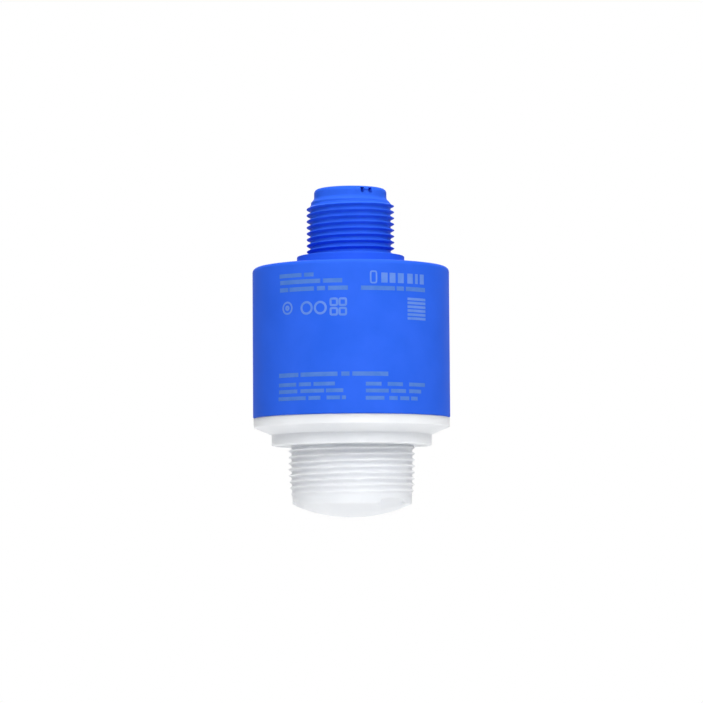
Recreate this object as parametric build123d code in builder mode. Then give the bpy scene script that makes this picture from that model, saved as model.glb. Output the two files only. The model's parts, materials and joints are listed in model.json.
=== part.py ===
from build123d import *
from math import cos, radians, sin
import os

os.makedirs("parts", exist_ok=True)

# Compact radar level transmitter, modelled in millimetres. The tank's boss seats on the seal face,
# whose centre is the origin. +Z runs up the sensor's axis and -Y is the printed front.

# Form that both pipe threads share, cut as turned grooves
thread_pitch = 2.309
thread_crest_width = 0.35
thread_root_width = 0.4

# Process fitting, outside: thread, lens and the white band under the housing
process_thread_dia = 47.8
process_thread_length = 14.0
process_thread_depth = 1.2
process_groove_count = 7
process_land = 1.4
thread_lead_length = 5.0
thread_lead_dia = 46.0
barrel_dia = 45.0
barrel_length = 22.0
lens_rise = 4.9
seal_ring_dia = 60.4
seal_ring_height = 4.1
skirt_height = 2.9
band_step = 0.25
band_height = 3.45
rim_notch_count = 3
rim_notch_azimuth = -47.0
rim_notch_height = 2.1
rim_notch_width = 11.6

# Process fitting, inside: bore, ledge for the horn, cored moat and the spigot into the housing
fitting_bore_dia = 38.0
lens_thickness = 8.9
ledge_above_seal = 8.0
moat_width = 5.0
moat_depth = 4.8
moat_rib_count = 9
moat_rib_thickness = 1.5
spigot_length = 12.0
spigot_wall = 3.2
spigot_clearance = 0.1
seal_groove_above_joint = 2.2
seal_groove_width = 3.2
seal_groove_depth = 2.0
seal_ring_section_width = 2.9
snap_above_joint = 8.4
snap_height = 1.6
snap_proud = 0.7
snap_clearance = 0.15

# Housing, outside: body, flange, conduit thread and smooth collar
body_dia = 74.5
body_height = 56.8
body_edge_radius = 1.7
flange_dia = 40.7
flange_height = 4.35
conduit_thread_dia = 33.25
conduit_thread_length = 18.9
conduit_thread_depth = 1.4
conduit_groove_count = 8
conduit_thread_end = 1.55
thread_neck_dia = 29.3
thread_neck_length = 0.4
collar_dia = 27.5
collar_height = 4.0
collar_edge_radius = 1.6
key_azimuth = -63.6
key_spread = 14.0
key_slot_width = 1.2
key_slot_height = 1.9
key_slot_depth = 0.9
key_rim_width = 0.65
key_bridge_height = 0.6
key_bridge_depth = 0.4
joint_chamfer = 0.25

# Housing, inside: cavity, board stops, cable entry and gland bore
body_wall = 3.2
roof_thickness = 3.4
cavity_corner_radius = 3.0
stop_rib_count = 6
stop_rib_thickness = 1.6
stop_rib_overlap = 1.2
stop_rib_gap = 0.25
entry_core_dia = 20.0
entry_core_above_flange = 0.3
gland_seat_thickness = 3.0
gland_bore_dia = 20.0
cable_hole_dia = 8.6
mouth_chamfer = 0.6

# Cable gland inside the nipple
cable_seal_bore = 6.8
cable_seal_height = 9.0
cable_seal_clearance = 0.15
washer_thickness = 1.2
washer_bore = 8.0
gland_screw_height = 9.5
gland_screw_clearance = 0.1
gland_screw_bore = 9.0
hex_drive_width = 12.0
hex_drive_depth = 4.5

# Horn antenna: aperture at the lens, throat under the radar chip
horn_bore_clearance = 0.25
horn_rim_wall = 1.3
horn_rim_height = 1.6
horn_wall = 1.5
throat_dia = 3.2
throat_length = 3.0
neck_dia = 12.0
horn_flange_thickness = 2.5
horn_flange_clearance = 0.35
gusset_count = 6
gusset_thickness = 1.2
gusset_reach = 15.5
gusset_drop = 11.0
post_height = 5.5
post_dia = 5.2
fastener_count = 3
horn_screw_azimuth = 90.0
post_azimuth = 30.0

# Fasteners and the two boards
horn_screw_dia = 2.8
horn_screw_head_dia = 5.6
horn_screw_head_height = 2.0
horn_screw_grip = 6.0
board_screw_dia = 2.1
board_screw_head_dia = 4.4
board_screw_head_height = 1.5
board_screw_grip = 3.5
thread_play = 0.1
hole_play = 0.3
blind_depth_spare = 1.0
drive_slot_width = 0.7
drive_slot_depth = 0.9
spacer_width = 4.5
spacer_height = 11.0
stud_grip = 3.5
board_thickness = 1.6
board_clearance = 0.9

# Parts on the boards: length, width and height, with a place or a margin to the board's edge
radar_chip_size = (9.0, 9.0, 1.0)
shield_size = (20.0, 20.0, 4.0)
shield_wall = 0.4
absorber_thickness = 2.0
absorber_margin = 1.2
socket_size = (15.6, 5.2, 8.5)
socket_place = (0.0, 18.0)
pin_pitch = 2.54
pin_columns = 6
pin_rows = 2
pin_width = 0.64
pin_hole_width = 0.95
pin_length = 5.6
processor_size = (10.0, 10.0, 1.4)
processor_place = (0.0, 0.0)
memory_size = (5.2, 6.0, 1.7)
memory_place = (-2.0, -9.5)
crystal_size = (5.0, 3.2, 1.1)
crystal_place = (-8.0, -13.0)
power_chip_size = (5.0, 5.0, 1.5)
power_chip_place = (-2.0, -15.6)
inductor_size = (10.0, 10.0, 4.6)
inductor_shift = 9.5
inductor_margin = 8.85
inductor_corner_radius = 2.2
capacitor_dia = 8.0
capacitor_height = 10.5
capacitor_base_height = 1.0
capacitor_base_width = 8.3
capacitor_places = [(12.5, 9.0), (12.5, 0.0)]
suppressor_size = (4.6, 3.6, 2.3)
suppressor_places = [(-4.0, 7.6), (1.5, 7.6)]
fuse_size = (6.1, 2.7, 2.7)
fuse_place = (-12.5, 10.5)
wireless_board_size = (12.0, 16.0, 0.8)
wireless_can_size = (10.0, 10.5, 1.7)
wireless_can_shift = -2.0
wireless_shift = -2.0
wireless_margin = 4.45
terminal_pitch = 5.0
terminal_ways = 3
terminal_size = (15.6, 8.0, 9.6)
terminal_margin = 5.45
terminal_entry_dia = 3.2
terminal_entry_height = 3.4
terminal_entry_depth = 5.0
terminal_well_dia = 3.8
terminal_well_depth = 3.6
terminal_screw_height = 2.2
terminal_screw_clearance = 0.1

# Edge breaks used on several pieces
fine_edge = 0.3
small_edge = 0.5

# Heights worked out from the sizes above
joint_z = seal_ring_height + skirt_height + band_height
roof_z = joint_z + body_height
flange_top_z = roof_z + flange_height
thread_top_z = flange_top_z + conduit_thread_length
neck_top_z = thread_top_z + conduit_thread_end + thread_neck_length
collar_bottom_z = neck_top_z + (thread_neck_dia - collar_dia) / 2
collar_top_z = collar_bottom_z + collar_height
ceiling_z = roof_z - roof_thickness
entry_core_z = flange_top_z + entry_core_above_flange
gland_seat_z = entry_core_z + gland_seat_thickness
lens_tip_z = -barrel_length - lens_rise
lens_back_z = lens_tip_z + lens_thickness
thread_end_z = -process_thread_length - thread_lead_length
spigot_top_z = joint_z + spigot_length
horn_flange_top_z = ledge_above_seal + horn_flange_thickness
radar_board_z = horn_flange_top_z + post_height
radar_board_top_z = radar_board_z + board_thickness
main_board_z = radar_board_top_z + spacer_height
main_board_top_z = main_board_z + board_thickness
washer_z = gland_seat_z + cable_seal_height
gland_screw_z = washer_z + washer_thickness

# Radii worked out from the sizes above
lens_radius = ((barrel_dia / 2) ** 2 + lens_rise**2) / (2 * lens_rise)
band_radius = body_dia / 2 - band_step
cavity_radius = body_dia / 2 - body_wall
spigot_radius = cavity_radius - spigot_clearance
spigot_inner_radius = spigot_radius - spigot_wall
groove_floor_radius = spigot_radius - seal_groove_depth
board_radius = spigot_inner_radius - board_clearance
fastener_circle_radius = (fitting_bore_dia / 2 + board_radius) / 2
moat_inner_radius = fastener_circle_radius - moat_width / 2
moat_outer_radius = fastener_circle_radius + moat_width / 2
horn_rim_radius = fitting_bore_dia / 2 - horn_bore_clearance
aperture_radius = horn_rim_radius - horn_rim_wall
horn_bottom_z = lens_back_z + horn_bore_clearance
throat_z = radar_board_z - throat_length
skirt_fillet = min(small_edge, (band_radius - seal_ring_dia / 2) / 3)
stop_rib_reach = cavity_radius + small_edge - board_radius + stop_rib_overlap
horn_slope = (aperture_radius - throat_dia / 2) / (throat_z - horn_bottom_z)

# Places of the parts that keep to the main board's edge
inductor_place = (inductor_shift, inductor_margin + inductor_size[1] / 2 - board_radius)
wireless_place = (wireless_margin + wireless_board_size[0] / 2 - board_radius, wireless_shift)
terminal_place = (0.0, board_radius - terminal_margin - terminal_size[1] / 2)


def horn_inner_radius(height):
    # The cone runs straight from the aperture at the lens to the throat
    return aperture_radius - horn_slope * (height - horn_bottom_z)


def ring_edges(piece, radius, height):
    # Every full circle of one radius at one height
    circles = piece.edges().filter_by(GeomType.CIRCLE)
    return circles.filter_by(
        lambda edge: abs(edge.radius - radius) < 1e-3 and abs(edge.arc_center.Z - height) < 1e-3
    )


def thread_grooves(thread_dia, depth, middle_z, count):
    # Turned grooves of the thread form, one pitch apart, cut into an outline whose crests are at thread_dia
    mouth = thread_pitch / 2 - thread_crest_width / 2
    with Locations((thread_dia / 2, middle_z)):
        with GridLocations(1, thread_pitch, 1, count):
            Polygon(
                (0, mouth),
                (-depth, thread_root_width / 2),
                (-depth, -thread_root_width / 2),
                (0, -mouth),
                align=None,
                mode=Mode.SUBTRACT,
            )


# The moulded housing is one piece: body, flange, threaded nipple and collar
with BuildPart() as housing:
    with BuildSketch(Plane.XZ):
        with BuildLine():
            Polyline(
                (cavity_radius, joint_z),
                (body_dia / 2, joint_z),
                (body_dia / 2, roof_z),
                (flange_dia / 2, roof_z),
                (flange_dia / 2, flange_top_z),
                (conduit_thread_dia / 2, flange_top_z),
                (conduit_thread_dia / 2, thread_top_z),
                (thread_neck_dia / 2, thread_top_z + conduit_thread_end),
                (thread_neck_dia / 2, neck_top_z),
                (collar_dia / 2, collar_bottom_z),
                (collar_dia / 2, collar_top_z),
                (gland_bore_dia / 2, collar_top_z),
                (gland_bore_dia / 2, gland_seat_z),
                (cable_hole_dia / 2, gland_seat_z),
                (cable_hole_dia / 2, entry_core_z),
                (entry_core_dia / 2, entry_core_z),
                (entry_core_dia / 2, ceiling_z),
                (cavity_radius, ceiling_z),
                close=True,
            )
        make_face()
        thread_grooves(
            conduit_thread_dia, conduit_thread_depth, (flange_top_z + thread_top_z) / 2, conduit_groove_count
        )
    revolve(axis=Axis.Z)
    fillet(ring_edges(housing, cavity_radius, ceiling_z), cavity_corner_radius)
    fillet(ring_edges(housing, body_dia / 2, roof_z), body_edge_radius)
    fillet(ring_edges(housing, collar_dia / 2, collar_top_z), collar_edge_radius)
    fillet(ring_edges(housing, collar_dia / 2, collar_bottom_z), collar_edge_radius)
    fillet(ring_edges(housing, flange_dia / 2, roof_z), small_edge)
    fillet(ring_edges(housing, flange_dia / 2, flange_top_z), fine_edge)
    fillet(ring_edges(housing, entry_core_dia / 2, ceiling_z), small_edge)
    chamfer(ring_edges(housing, body_dia / 2, joint_z), joint_chamfer)
    chamfer(ring_edges(housing, cavity_radius, joint_z), mouth_chamfer)
    chamfer(ring_edges(housing, gland_bore_dia / 2, collar_top_z), small_edge)
    # groove that the fitting's snap bead springs into
    with BuildSketch(Plane.XY.offset(joint_z + snap_above_joint - snap_height / 2 - snap_clearance)):
        Circle(cavity_radius + snap_proud)
        Circle(cavity_radius, mode=Mode.SUBTRACT)
    extrude(amount=snap_height + 2 * snap_clearance, mode=Mode.SUBTRACT)
    # ribs that stop the board stack from lifting
    with BuildSketch(Plane.XY.offset(main_board_top_z + stop_rib_gap)):
        with PolarLocations(board_radius - stop_rib_overlap + stop_rib_reach / 2, stop_rib_count):
            Rectangle(stop_rib_reach, stop_rib_thickness)
    extrude(amount=ceiling_z + small_edge - main_board_top_z - stop_rib_gap)
    # two key slots under the collar's rim, with a shallow bridge between them
    with BuildSketch(Plane.XY.offset(collar_top_z - key_rim_width)):
        with Locations(Rot(0, 0, key_azimuth)):
            with PolarLocations(collar_dia / 2, 2, start_angle=-key_spread / 2, angular_range=2 * key_spread):
                Rectangle(2 * key_slot_depth, key_slot_width)
    extrude(amount=-key_slot_height, mode=Mode.SUBTRACT)
    with BuildSketch(Plane.XY.offset(collar_top_z - key_rim_width - (key_slot_height - key_bridge_height) / 2)):
        with PolarLocations(collar_dia / 2, 1, start_angle=key_azimuth):
            Rectangle(2 * key_bridge_depth, collar_dia / 2 * radians(key_spread))
    extrude(amount=-key_bridge_height, mode=Mode.SUBTRACT)
housing.part.label = "housing"
export_step(housing.part, "parts/housing.step")

# The process fitting and its lens are one white moulding
with BuildPart() as process_fitting:
    with BuildSketch(Plane.XZ):
        with BuildLine():
            Polyline(
                (barrel_dia / 2, -barrel_length),
                (barrel_dia / 2, thread_end_z),
                (thread_lead_dia / 2, thread_end_z),
                (process_thread_dia / 2, -process_thread_length),
                (process_thread_dia / 2, 0),
                (seal_ring_dia / 2, 0),
                (seal_ring_dia / 2, seal_ring_height),
                (band_radius, seal_ring_height + skirt_height),
                (band_radius, joint_z),
                (spigot_radius, joint_z),
                (spigot_radius, spigot_top_z),
                (spigot_inner_radius, spigot_top_z),
                (spigot_inner_radius, ledge_above_seal),
                (fitting_bore_dia / 2, ledge_above_seal),
                (fitting_bore_dia / 2, lens_back_z),
                (0, lens_back_z),
                (0, lens_tip_z),
            )
            RadiusArc((0, lens_tip_z), (barrel_dia / 2, -barrel_length), -lens_radius)
        make_face()
        thread_grooves(
            process_thread_dia,
            process_thread_depth,
            -process_land - process_groove_count * thread_pitch / 2,
            process_groove_count,
        )
    revolve(axis=Axis.Z)
    fillet(ring_edges(process_fitting, seal_ring_dia / 2, 0), small_edge)
    fillet(ring_edges(process_fitting, seal_ring_dia / 2, seal_ring_height), skirt_fillet)
    fillet(ring_edges(process_fitting, band_radius, seal_ring_height + skirt_height), skirt_fillet)
    chamfer(ring_edges(process_fitting, band_radius, joint_z), joint_chamfer)
    chamfer(ring_edges(process_fitting, spigot_radius, spigot_top_z), small_edge)
    # three notches with sloped floors in the lens's rim
    for index in range(rim_notch_count):
        azimuth = radians(rim_notch_azimuth + 360 * index / rim_notch_count)
        outward = Vector(cos(azimuth), sin(azimuth), 0)
        across = Vector(-sin(azimuth), cos(azimuth), 0)
        corner = outward * (barrel_dia / 2) + Vector(0, 0, -barrel_length + rim_notch_height)
        with BuildSketch(Plane(origin=corner, x_dir=across, z_dir=outward + Vector(0, 0, -1))):
            Rectangle(rim_notch_width, barrel_dia / 2)
        extrude(amount=barrel_dia / 4, mode=Mode.SUBTRACT)
    # groove for the housing seal, and the bead that snaps into the housing
    with BuildSketch(Plane.XY.offset(joint_z + seal_groove_above_joint)):
        Circle(spigot_radius + small_edge)
        Circle(groove_floor_radius, mode=Mode.SUBTRACT)
    extrude(amount=seal_groove_width, mode=Mode.SUBTRACT)
    with BuildSketch(Plane.XY.offset(joint_z + snap_above_joint - snap_height / 2)):
        Circle(cavity_radius + snap_proud - snap_clearance)
        Circle(spigot_radius - small_edge, mode=Mode.SUBTRACT)
    extrude(amount=snap_height)
    chamfer(
        ring_edges(
            process_fitting,
            cavity_radius + snap_proud - snap_clearance,
            joint_z + snap_above_joint + snap_height / 2,
        ),
        small_edge,
    )
    # moat cored out under the ledge, crossed by ribs and by the horn screws' bosses
    with BuildSketch(Plane.XY.offset(ledge_above_seal)):
        Circle(moat_outer_radius)
        Circle(moat_inner_radius, mode=Mode.SUBTRACT)
        with PolarLocations(fastener_circle_radius, moat_rib_count, start_angle=horn_screw_azimuth):
            Rectangle(2 * moat_width, moat_rib_thickness, mode=Mode.SUBTRACT)
        with PolarLocations(fastener_circle_radius, fastener_count, start_angle=horn_screw_azimuth):
            Circle(horn_screw_head_dia / 2, mode=Mode.SUBTRACT)
    extrude(amount=-moat_depth, mode=Mode.SUBTRACT)
    with Locations(Plane.XY.offset(ledge_above_seal)):
        with PolarLocations(fastener_circle_radius, fastener_count, start_angle=horn_screw_azimuth):
            Hole(horn_screw_dia / 2 + thread_play, horn_screw_grip + blind_depth_spare)
process_fitting.part.label = "process_fitting"
export_step(process_fitting.part, "parts/process_fitting.step")

# Rubber ring squeezed between the spigot's groove and the housing's wall
with BuildPart() as housing_seal_ring:
    with BuildSketch(Plane.XZ):
        with Locations(
            (
                (groove_floor_radius + cavity_radius) / 2,
                joint_z + seal_groove_above_joint + seal_groove_width / 2,
            )
        ):
            RectangleRounded(
                cavity_radius - groove_floor_radius, seal_ring_section_width, seal_groove_depth / 3
            )
    revolve(axis=Axis.Z)
housing_seal_ring.part.label = "housing_seal_ring"
export_step(housing_seal_ring.part, "parts/housing_seal_ring.step")

# One web that stiffens the horn under its flange
with BuildPart() as gusset:
    with BuildSketch(Plane.XZ):
        with BuildLine():
            Polyline(
                (horn_inner_radius(ledge_above_seal) + horn_wall / 2, ledge_above_seal),
                (gusset_reach, ledge_above_seal),
                (
                    horn_inner_radius(ledge_above_seal - gusset_drop) + horn_wall / 2,
                    ledge_above_seal - gusset_drop,
                ),
                close=True,
            )
        make_face()
    extrude(amount=gusset_thickness / 2, both=True)

# Cast horn: rim on the lens, cone, neck, and a flange with posts for the radar board
with BuildPart() as horn_antenna:
    with BuildSketch(Plane.XZ):
        with BuildLine():
            Polyline(
                (aperture_radius, horn_bottom_z),
                (horn_rim_radius, horn_bottom_z),
                (horn_rim_radius, horn_bottom_z + horn_rim_height),
                (horn_inner_radius(horn_bottom_z + horn_rim_height) + horn_wall, horn_bottom_z + horn_rim_height),
                (horn_inner_radius(ledge_above_seal) + horn_wall, ledge_above_seal),
                (spigot_inner_radius - horn_flange_clearance, ledge_above_seal),
                (spigot_inner_radius - horn_flange_clearance, horn_flange_top_z),
                (neck_dia / 2, horn_flange_top_z),
                (neck_dia / 2, radar_board_z),
                (throat_dia / 2, radar_board_z),
                (throat_dia / 2, throat_z),
                close=True,
            )
        make_face()
    revolve(axis=Axis.Z)
    with PolarLocations(0, gusset_count):
        add(gusset.part)
    with BuildSketch(Plane.XY.offset(horn_flange_top_z)):
        with PolarLocations(fastener_circle_radius, fastener_count, start_angle=post_azimuth):
            Circle(post_dia / 2)
    extrude(amount=post_height)
    with Locations(Plane.XY.offset(radar_board_z)):
        with PolarLocations(fastener_circle_radius, fastener_count, start_angle=post_azimuth):
            Hole(board_screw_dia / 2 + thread_play, stud_grip + blind_depth_spare)
    with Locations(Plane.XY.offset(horn_flange_top_z)):
        with PolarLocations(fastener_circle_radius, fastener_count, start_angle=horn_screw_azimuth):
            Hole(horn_screw_dia / 2 + hole_play, horn_flange_thickness)
horn_antenna.part.label = "horn_antenna"
export_step(horn_antenna.part, "parts/horn_antenna.step")


def pan_head_screws(seat_z, azimuth, head_dia, head_height, shank_dia, shank_length):
    # Slotted pan-head screws standing on one circle, heads on their seat
    with BuildPart() as screws:
        with BuildSketch(Plane.XY.offset(seat_z)):
            with PolarLocations(fastener_circle_radius, fastener_count, start_angle=azimuth):
                Circle(head_dia / 2)
        extrude(amount=head_height)
        chamfer(screws.faces().sort_by(Axis.Z)[-fastener_count:].edges(), fine_edge)
        with BuildSketch(Plane.XY.offset(seat_z)):
            with PolarLocations(fastener_circle_radius, fastener_count, start_angle=azimuth):
                Circle(shank_dia / 2)
        extrude(amount=-shank_length)
        with BuildSketch(Plane.XY.offset(seat_z + head_height)):
            with PolarLocations(fastener_circle_radius, fastener_count, start_angle=azimuth):
                Rectangle(head_dia, drive_slot_width)
        extrude(amount=-drive_slot_depth, mode=Mode.SUBTRACT)
    return screws.part


def chip(size, place, board_z, edge=fine_edge):
    # A moulded package lying on a board, its top edges broken
    with BuildPart() as package:
        with BuildSketch(Plane.XY.offset(board_z)):
            with Locations(place):
                Rectangle(size[0], size[1])
        extrude(amount=size[2])
        chamfer(package.faces().sort_by(Axis.Z)[-1].edges(), edge)
    return package.part


def round_board(board_z):
    # A round circuit board with clearance holes for its fasteners
    with BuildPart() as board:
        with BuildSketch(Plane.XY.offset(board_z)):
            Circle(board_radius)
            with PolarLocations(fastener_circle_radius, fastener_count, start_angle=post_azimuth):
                Circle(board_screw_dia / 2 + hole_play, mode=Mode.SUBTRACT)
        extrude(amount=board_thickness)
    return board.part


def pin_grid():
    # Places of the board connector's pins
    return GridLocations(pin_pitch, pin_pitch, pin_columns, pin_rows)


with BuildPart() as horn_screws:
    add(
        pan_head_screws(
            horn_flange_top_z,
            horn_screw_azimuth,
            horn_screw_head_dia,
            horn_screw_head_height,
            horn_screw_dia,
            horn_flange_thickness + horn_screw_grip,
        )
    )
horn_screws.part.label = "horn_screws"
export_step(horn_screws.part, "parts/horn_screws.step")

with BuildPart() as radar_board:
    add(round_board(radar_board_z))
radar_board.part.label = "radar_board"
export_step(radar_board.part, "parts/radar_board.step")

with BuildPart() as radar_chip:
    add(chip(radar_chip_size, (0, 0), radar_board_top_z, edge=fine_edge / 2))
radar_chip.part.label = "radar_chip"
export_step(radar_chip.part, "parts/radar_chip.step")

# Folded can over the radar chip, open against the board
with BuildPart() as shield_can:
    with BuildSketch(Plane.XY.offset(radar_board_top_z)):
        Rectangle(shield_size[0], shield_size[1])
    extrude(amount=shield_size[2])
    with BuildSketch(Plane.XY.offset(radar_board_top_z)):
        Rectangle(shield_size[0] - 2 * shield_wall, shield_size[1] - 2 * shield_wall)
    extrude(amount=shield_size[2] - shield_wall, mode=Mode.SUBTRACT)
shield_can.part.label = "shield_can"
export_step(shield_can.part, "parts/shield_can.step")

# Foam pad stuck under the can's roof, clear above the chip
with BuildPart() as absorber_pad:
    with BuildSketch(Plane.XY.offset(radar_board_top_z + shield_size[2] - shield_wall)):
        RectangleRounded(
            shield_size[0] - 2 * (shield_wall + absorber_margin),
            shield_size[1] - 2 * (shield_wall + absorber_margin),
            small_edge,
        )
    extrude(amount=-absorber_thickness)
absorber_pad.part.label = "absorber_pad"
export_step(absorber_pad.part, "parts/absorber_pad.step")

# Connector between the boards: socket below, pin header above
with BuildPart() as board_socket:
    with BuildSketch(Plane.XY.offset(radar_board_top_z)):
        with Locations(socket_place):
            Rectangle(socket_size[0], socket_size[1])
    extrude(amount=socket_size[2])
    with BuildSketch(Plane.XY.offset(radar_board_top_z + socket_size[2])):
        with Locations(socket_place):
            with pin_grid():
                Rectangle(pin_hole_width, pin_hole_width)
    extrude(amount=-pin_length - blind_depth_spare, mode=Mode.SUBTRACT)
board_socket.part.label = "board_socket"
export_step(board_socket.part, "parts/board_socket.step")

with BuildPart() as board_header:
    with BuildSketch(Plane.XY.offset(radar_board_top_z + socket_size[2])):
        with Locations(socket_place):
            Rectangle(socket_size[0], socket_size[1])
    extrude(amount=spacer_height - socket_size[2])
    with BuildSketch(Plane.XY.offset(radar_board_top_z + socket_size[2])):
        with Locations(socket_place):
            with pin_grid():
                Rectangle(pin_width, pin_width)
    extrude(amount=-pin_length)
board_header.part.label = "board_header"
export_step(board_header.part, "parts/board_header.step")

# Hexagonal spacers screwed through the radar board into the horn's posts
with BuildPart() as board_spacers:
    with BuildSketch(Plane.XY.offset(radar_board_top_z)):
        with PolarLocations(fastener_circle_radius, fastener_count, start_angle=post_azimuth):
            RegularPolygon(spacer_width / 2, 6, major_radius=False)
    extrude(amount=spacer_height)
    with BuildSketch(Plane.XY.offset(radar_board_top_z)):
        with PolarLocations(fastener_circle_radius, fastener_count, start_angle=post_azimuth):
            Circle(board_screw_dia / 2)
    extrude(amount=-board_thickness - stud_grip)
    with Locations(Plane.XY.offset(main_board_z)):
        with PolarLocations(fastener_circle_radius, fastener_count, start_angle=post_azimuth):
            Hole(board_screw_dia / 2 + thread_play, board_screw_grip + blind_depth_spare)
board_spacers.part.label = "board_spacers"
export_step(board_spacers.part, "parts/board_spacers.step")

with BuildPart() as main_board:
    add(round_board(main_board_z))
main_board.part.label = "main_board"
export_step(main_board.part, "parts/main_board.step")

with BuildPart() as board_screws:
    add(
        pan_head_screws(
            main_board_top_z,
            post_azimuth,
            board_screw_head_dia,
            board_screw_head_height,
            board_screw_dia,
            board_thickness + board_screw_grip,
        )
    )
board_screws.part.label = "board_screws"
export_step(board_screws.part, "parts/board_screws.step")

# Chips, crystal, fuse and surge suppressors on the main board
with BuildPart() as processor_chip:
    add(chip(processor_size, processor_place, main_board_top_z))
processor_chip.part.label = "processor_chip"
export_step(processor_chip.part, "parts/processor_chip.step")

with BuildPart() as memory_chip:
    add(chip(memory_size, memory_place, main_board_top_z))
memory_chip.part.label = "memory_chip"
export_step(memory_chip.part, "parts/memory_chip.step")

with BuildPart() as clock_crystal:
    add(chip(crystal_size, crystal_place, main_board_top_z))
clock_crystal.part.label = "clock_crystal"
export_step(clock_crystal.part, "parts/clock_crystal.step")

with BuildPart() as power_chip:
    add(chip(power_chip_size, power_chip_place, main_board_top_z))
power_chip.part.label = "power_chip"
export_step(power_chip.part, "parts/power_chip.step")

with BuildPart() as input_fuse:
    add(chip(fuse_size, fuse_place, main_board_top_z))
input_fuse.part.label = "input_fuse"
export_step(input_fuse.part, "parts/input_fuse.step")

with BuildPart() as surge_suppressors:
    for place in suppressor_places:
        add(chip(suppressor_size, place, main_board_top_z))
surge_suppressors.part.label = "surge_suppressors"
export_step(surge_suppressors.part, "parts/surge_suppressors.step")

with BuildPart() as power_inductor:
    with BuildSketch(Plane.XY.offset(main_board_top_z)):
        with Locations(inductor_place):
            RectangleRounded(inductor_size[0], inductor_size[1], inductor_corner_radius)
    extrude(amount=inductor_size[2])
    fillet(power_inductor.faces().sort_by(Axis.Z)[-1].edges(), small_edge)
power_inductor.part.label = "power_inductor"
export_step(power_inductor.part, "parts/power_inductor.step")

# Electrolytic cans on their square bases
with BuildPart() as storage_capacitors:
    with BuildSketch(Plane.XY.offset(main_board_top_z)):
        with Locations(capacitor_places):
            Rectangle(capacitor_base_width, capacitor_base_width)
    extrude(amount=capacitor_base_height)
    with BuildSketch(Plane.XY.offset(main_board_top_z + capacitor_base_height)):
        with Locations(capacitor_places):
            Circle(capacitor_dia / 2)
    extrude(amount=capacitor_height - capacitor_base_height)
    fillet(storage_capacitors.faces().sort_by(Axis.Z)[-len(capacitor_places):].edges(), small_edge)
storage_capacitors.part.label = "storage_capacitors"
export_step(storage_capacitors.part, "parts/storage_capacitors.step")

# Short-range radio: a small board with a can at one end and its printed aerial at the other
with BuildPart() as wireless_module:
    with BuildSketch(Plane.XY.offset(main_board_top_z)):
        with Locations(wireless_place):
            Rectangle(wireless_board_size[0], wireless_board_size[1])
    extrude(amount=wireless_board_size[2])
    with BuildSketch(Plane.XY.offset(main_board_top_z + wireless_board_size[2])):
        with Locations((wireless_place[0], wireless_place[1] + wireless_can_shift)):
            RectangleRounded(wireless_can_size[0], wireless_can_size[1], small_edge)
    extrude(amount=wireless_can_size[2])
wireless_module.part.label = "wireless_module"
export_step(wireless_module.part, "parts/wireless_module.step")

# Screw terminals for the cable's cores
with BuildPart() as terminal_block:
    with BuildSketch(Plane.XY.offset(main_board_top_z)):
        with Locations(terminal_place):
            Rectangle(terminal_size[0], terminal_size[1])
    extrude(amount=terminal_size[2])
    chamfer(terminal_block.faces().sort_by(Axis.Z)[-1].edges(), small_edge)
    with BuildSketch(Plane.XY.offset(main_board_top_z + terminal_size[2])):
        with Locations(terminal_place):
            with GridLocations(terminal_pitch, 1, terminal_ways, 1):
                Circle(terminal_well_dia / 2)
    extrude(amount=-terminal_well_depth, mode=Mode.SUBTRACT)
    with BuildSketch(Plane.XZ.offset(terminal_size[1] / 2 - terminal_place[1])):
        with Locations((terminal_place[0], main_board_top_z + terminal_entry_height)):
            with GridLocations(terminal_pitch, 1, terminal_ways, 1):
                Circle(terminal_entry_dia / 2)
    extrude(amount=-terminal_entry_depth, mode=Mode.SUBTRACT)
terminal_block.part.label = "terminal_block"
export_step(terminal_block.part, "parts/terminal_block.step")

with BuildPart() as terminal_screws:
    with BuildSketch(Plane.XY.offset(main_board_top_z + terminal_size[2] - terminal_well_depth)):
        with Locations(terminal_place):
            with GridLocations(terminal_pitch, 1, terminal_ways, 1):
                Circle(terminal_well_dia / 2 - terminal_screw_clearance)
    extrude(amount=terminal_screw_height)
    with BuildSketch(
        Plane.XY.offset(main_board_top_z + terminal_size[2] - terminal_well_depth + terminal_screw_height)
    ):
        with Locations(terminal_place):
            with GridLocations(terminal_pitch, 1, terminal_ways, 1):
                Rectangle(terminal_well_dia, drive_slot_width)
    extrude(amount=-drive_slot_depth, mode=Mode.SUBTRACT)
terminal_screws.part.label = "terminal_screws"
export_step(terminal_screws.part, "parts/terminal_screws.step")

# Cable gland in the nipple: rubber seal, thrust washer and hollow pressure screw
with BuildPart() as cable_seal:
    with BuildSketch(Plane.XY.offset(gland_seat_z)):
        Circle(gland_bore_dia / 2 - cable_seal_clearance)
        Circle(cable_seal_bore / 2, mode=Mode.SUBTRACT)
    extrude(amount=cable_seal_height)
    chamfer(ring_edges(cable_seal, gland_bore_dia / 2 - cable_seal_clearance, gland_seat_z), small_edge)
    chamfer(ring_edges(cable_seal, gland_bore_dia / 2 - cable_seal_clearance, washer_z), small_edge)
cable_seal.part.label = "cable_seal"
export_step(cable_seal.part, "parts/cable_seal.step")

with BuildPart() as seal_washer:
    with BuildSketch(Plane.XY.offset(washer_z)):
        Circle(gland_bore_dia / 2 - cable_seal_clearance)
        Circle(washer_bore / 2, mode=Mode.SUBTRACT)
    extrude(amount=washer_thickness)
seal_washer.part.label = "seal_washer"
export_step(seal_washer.part, "parts/seal_washer.step")

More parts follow.
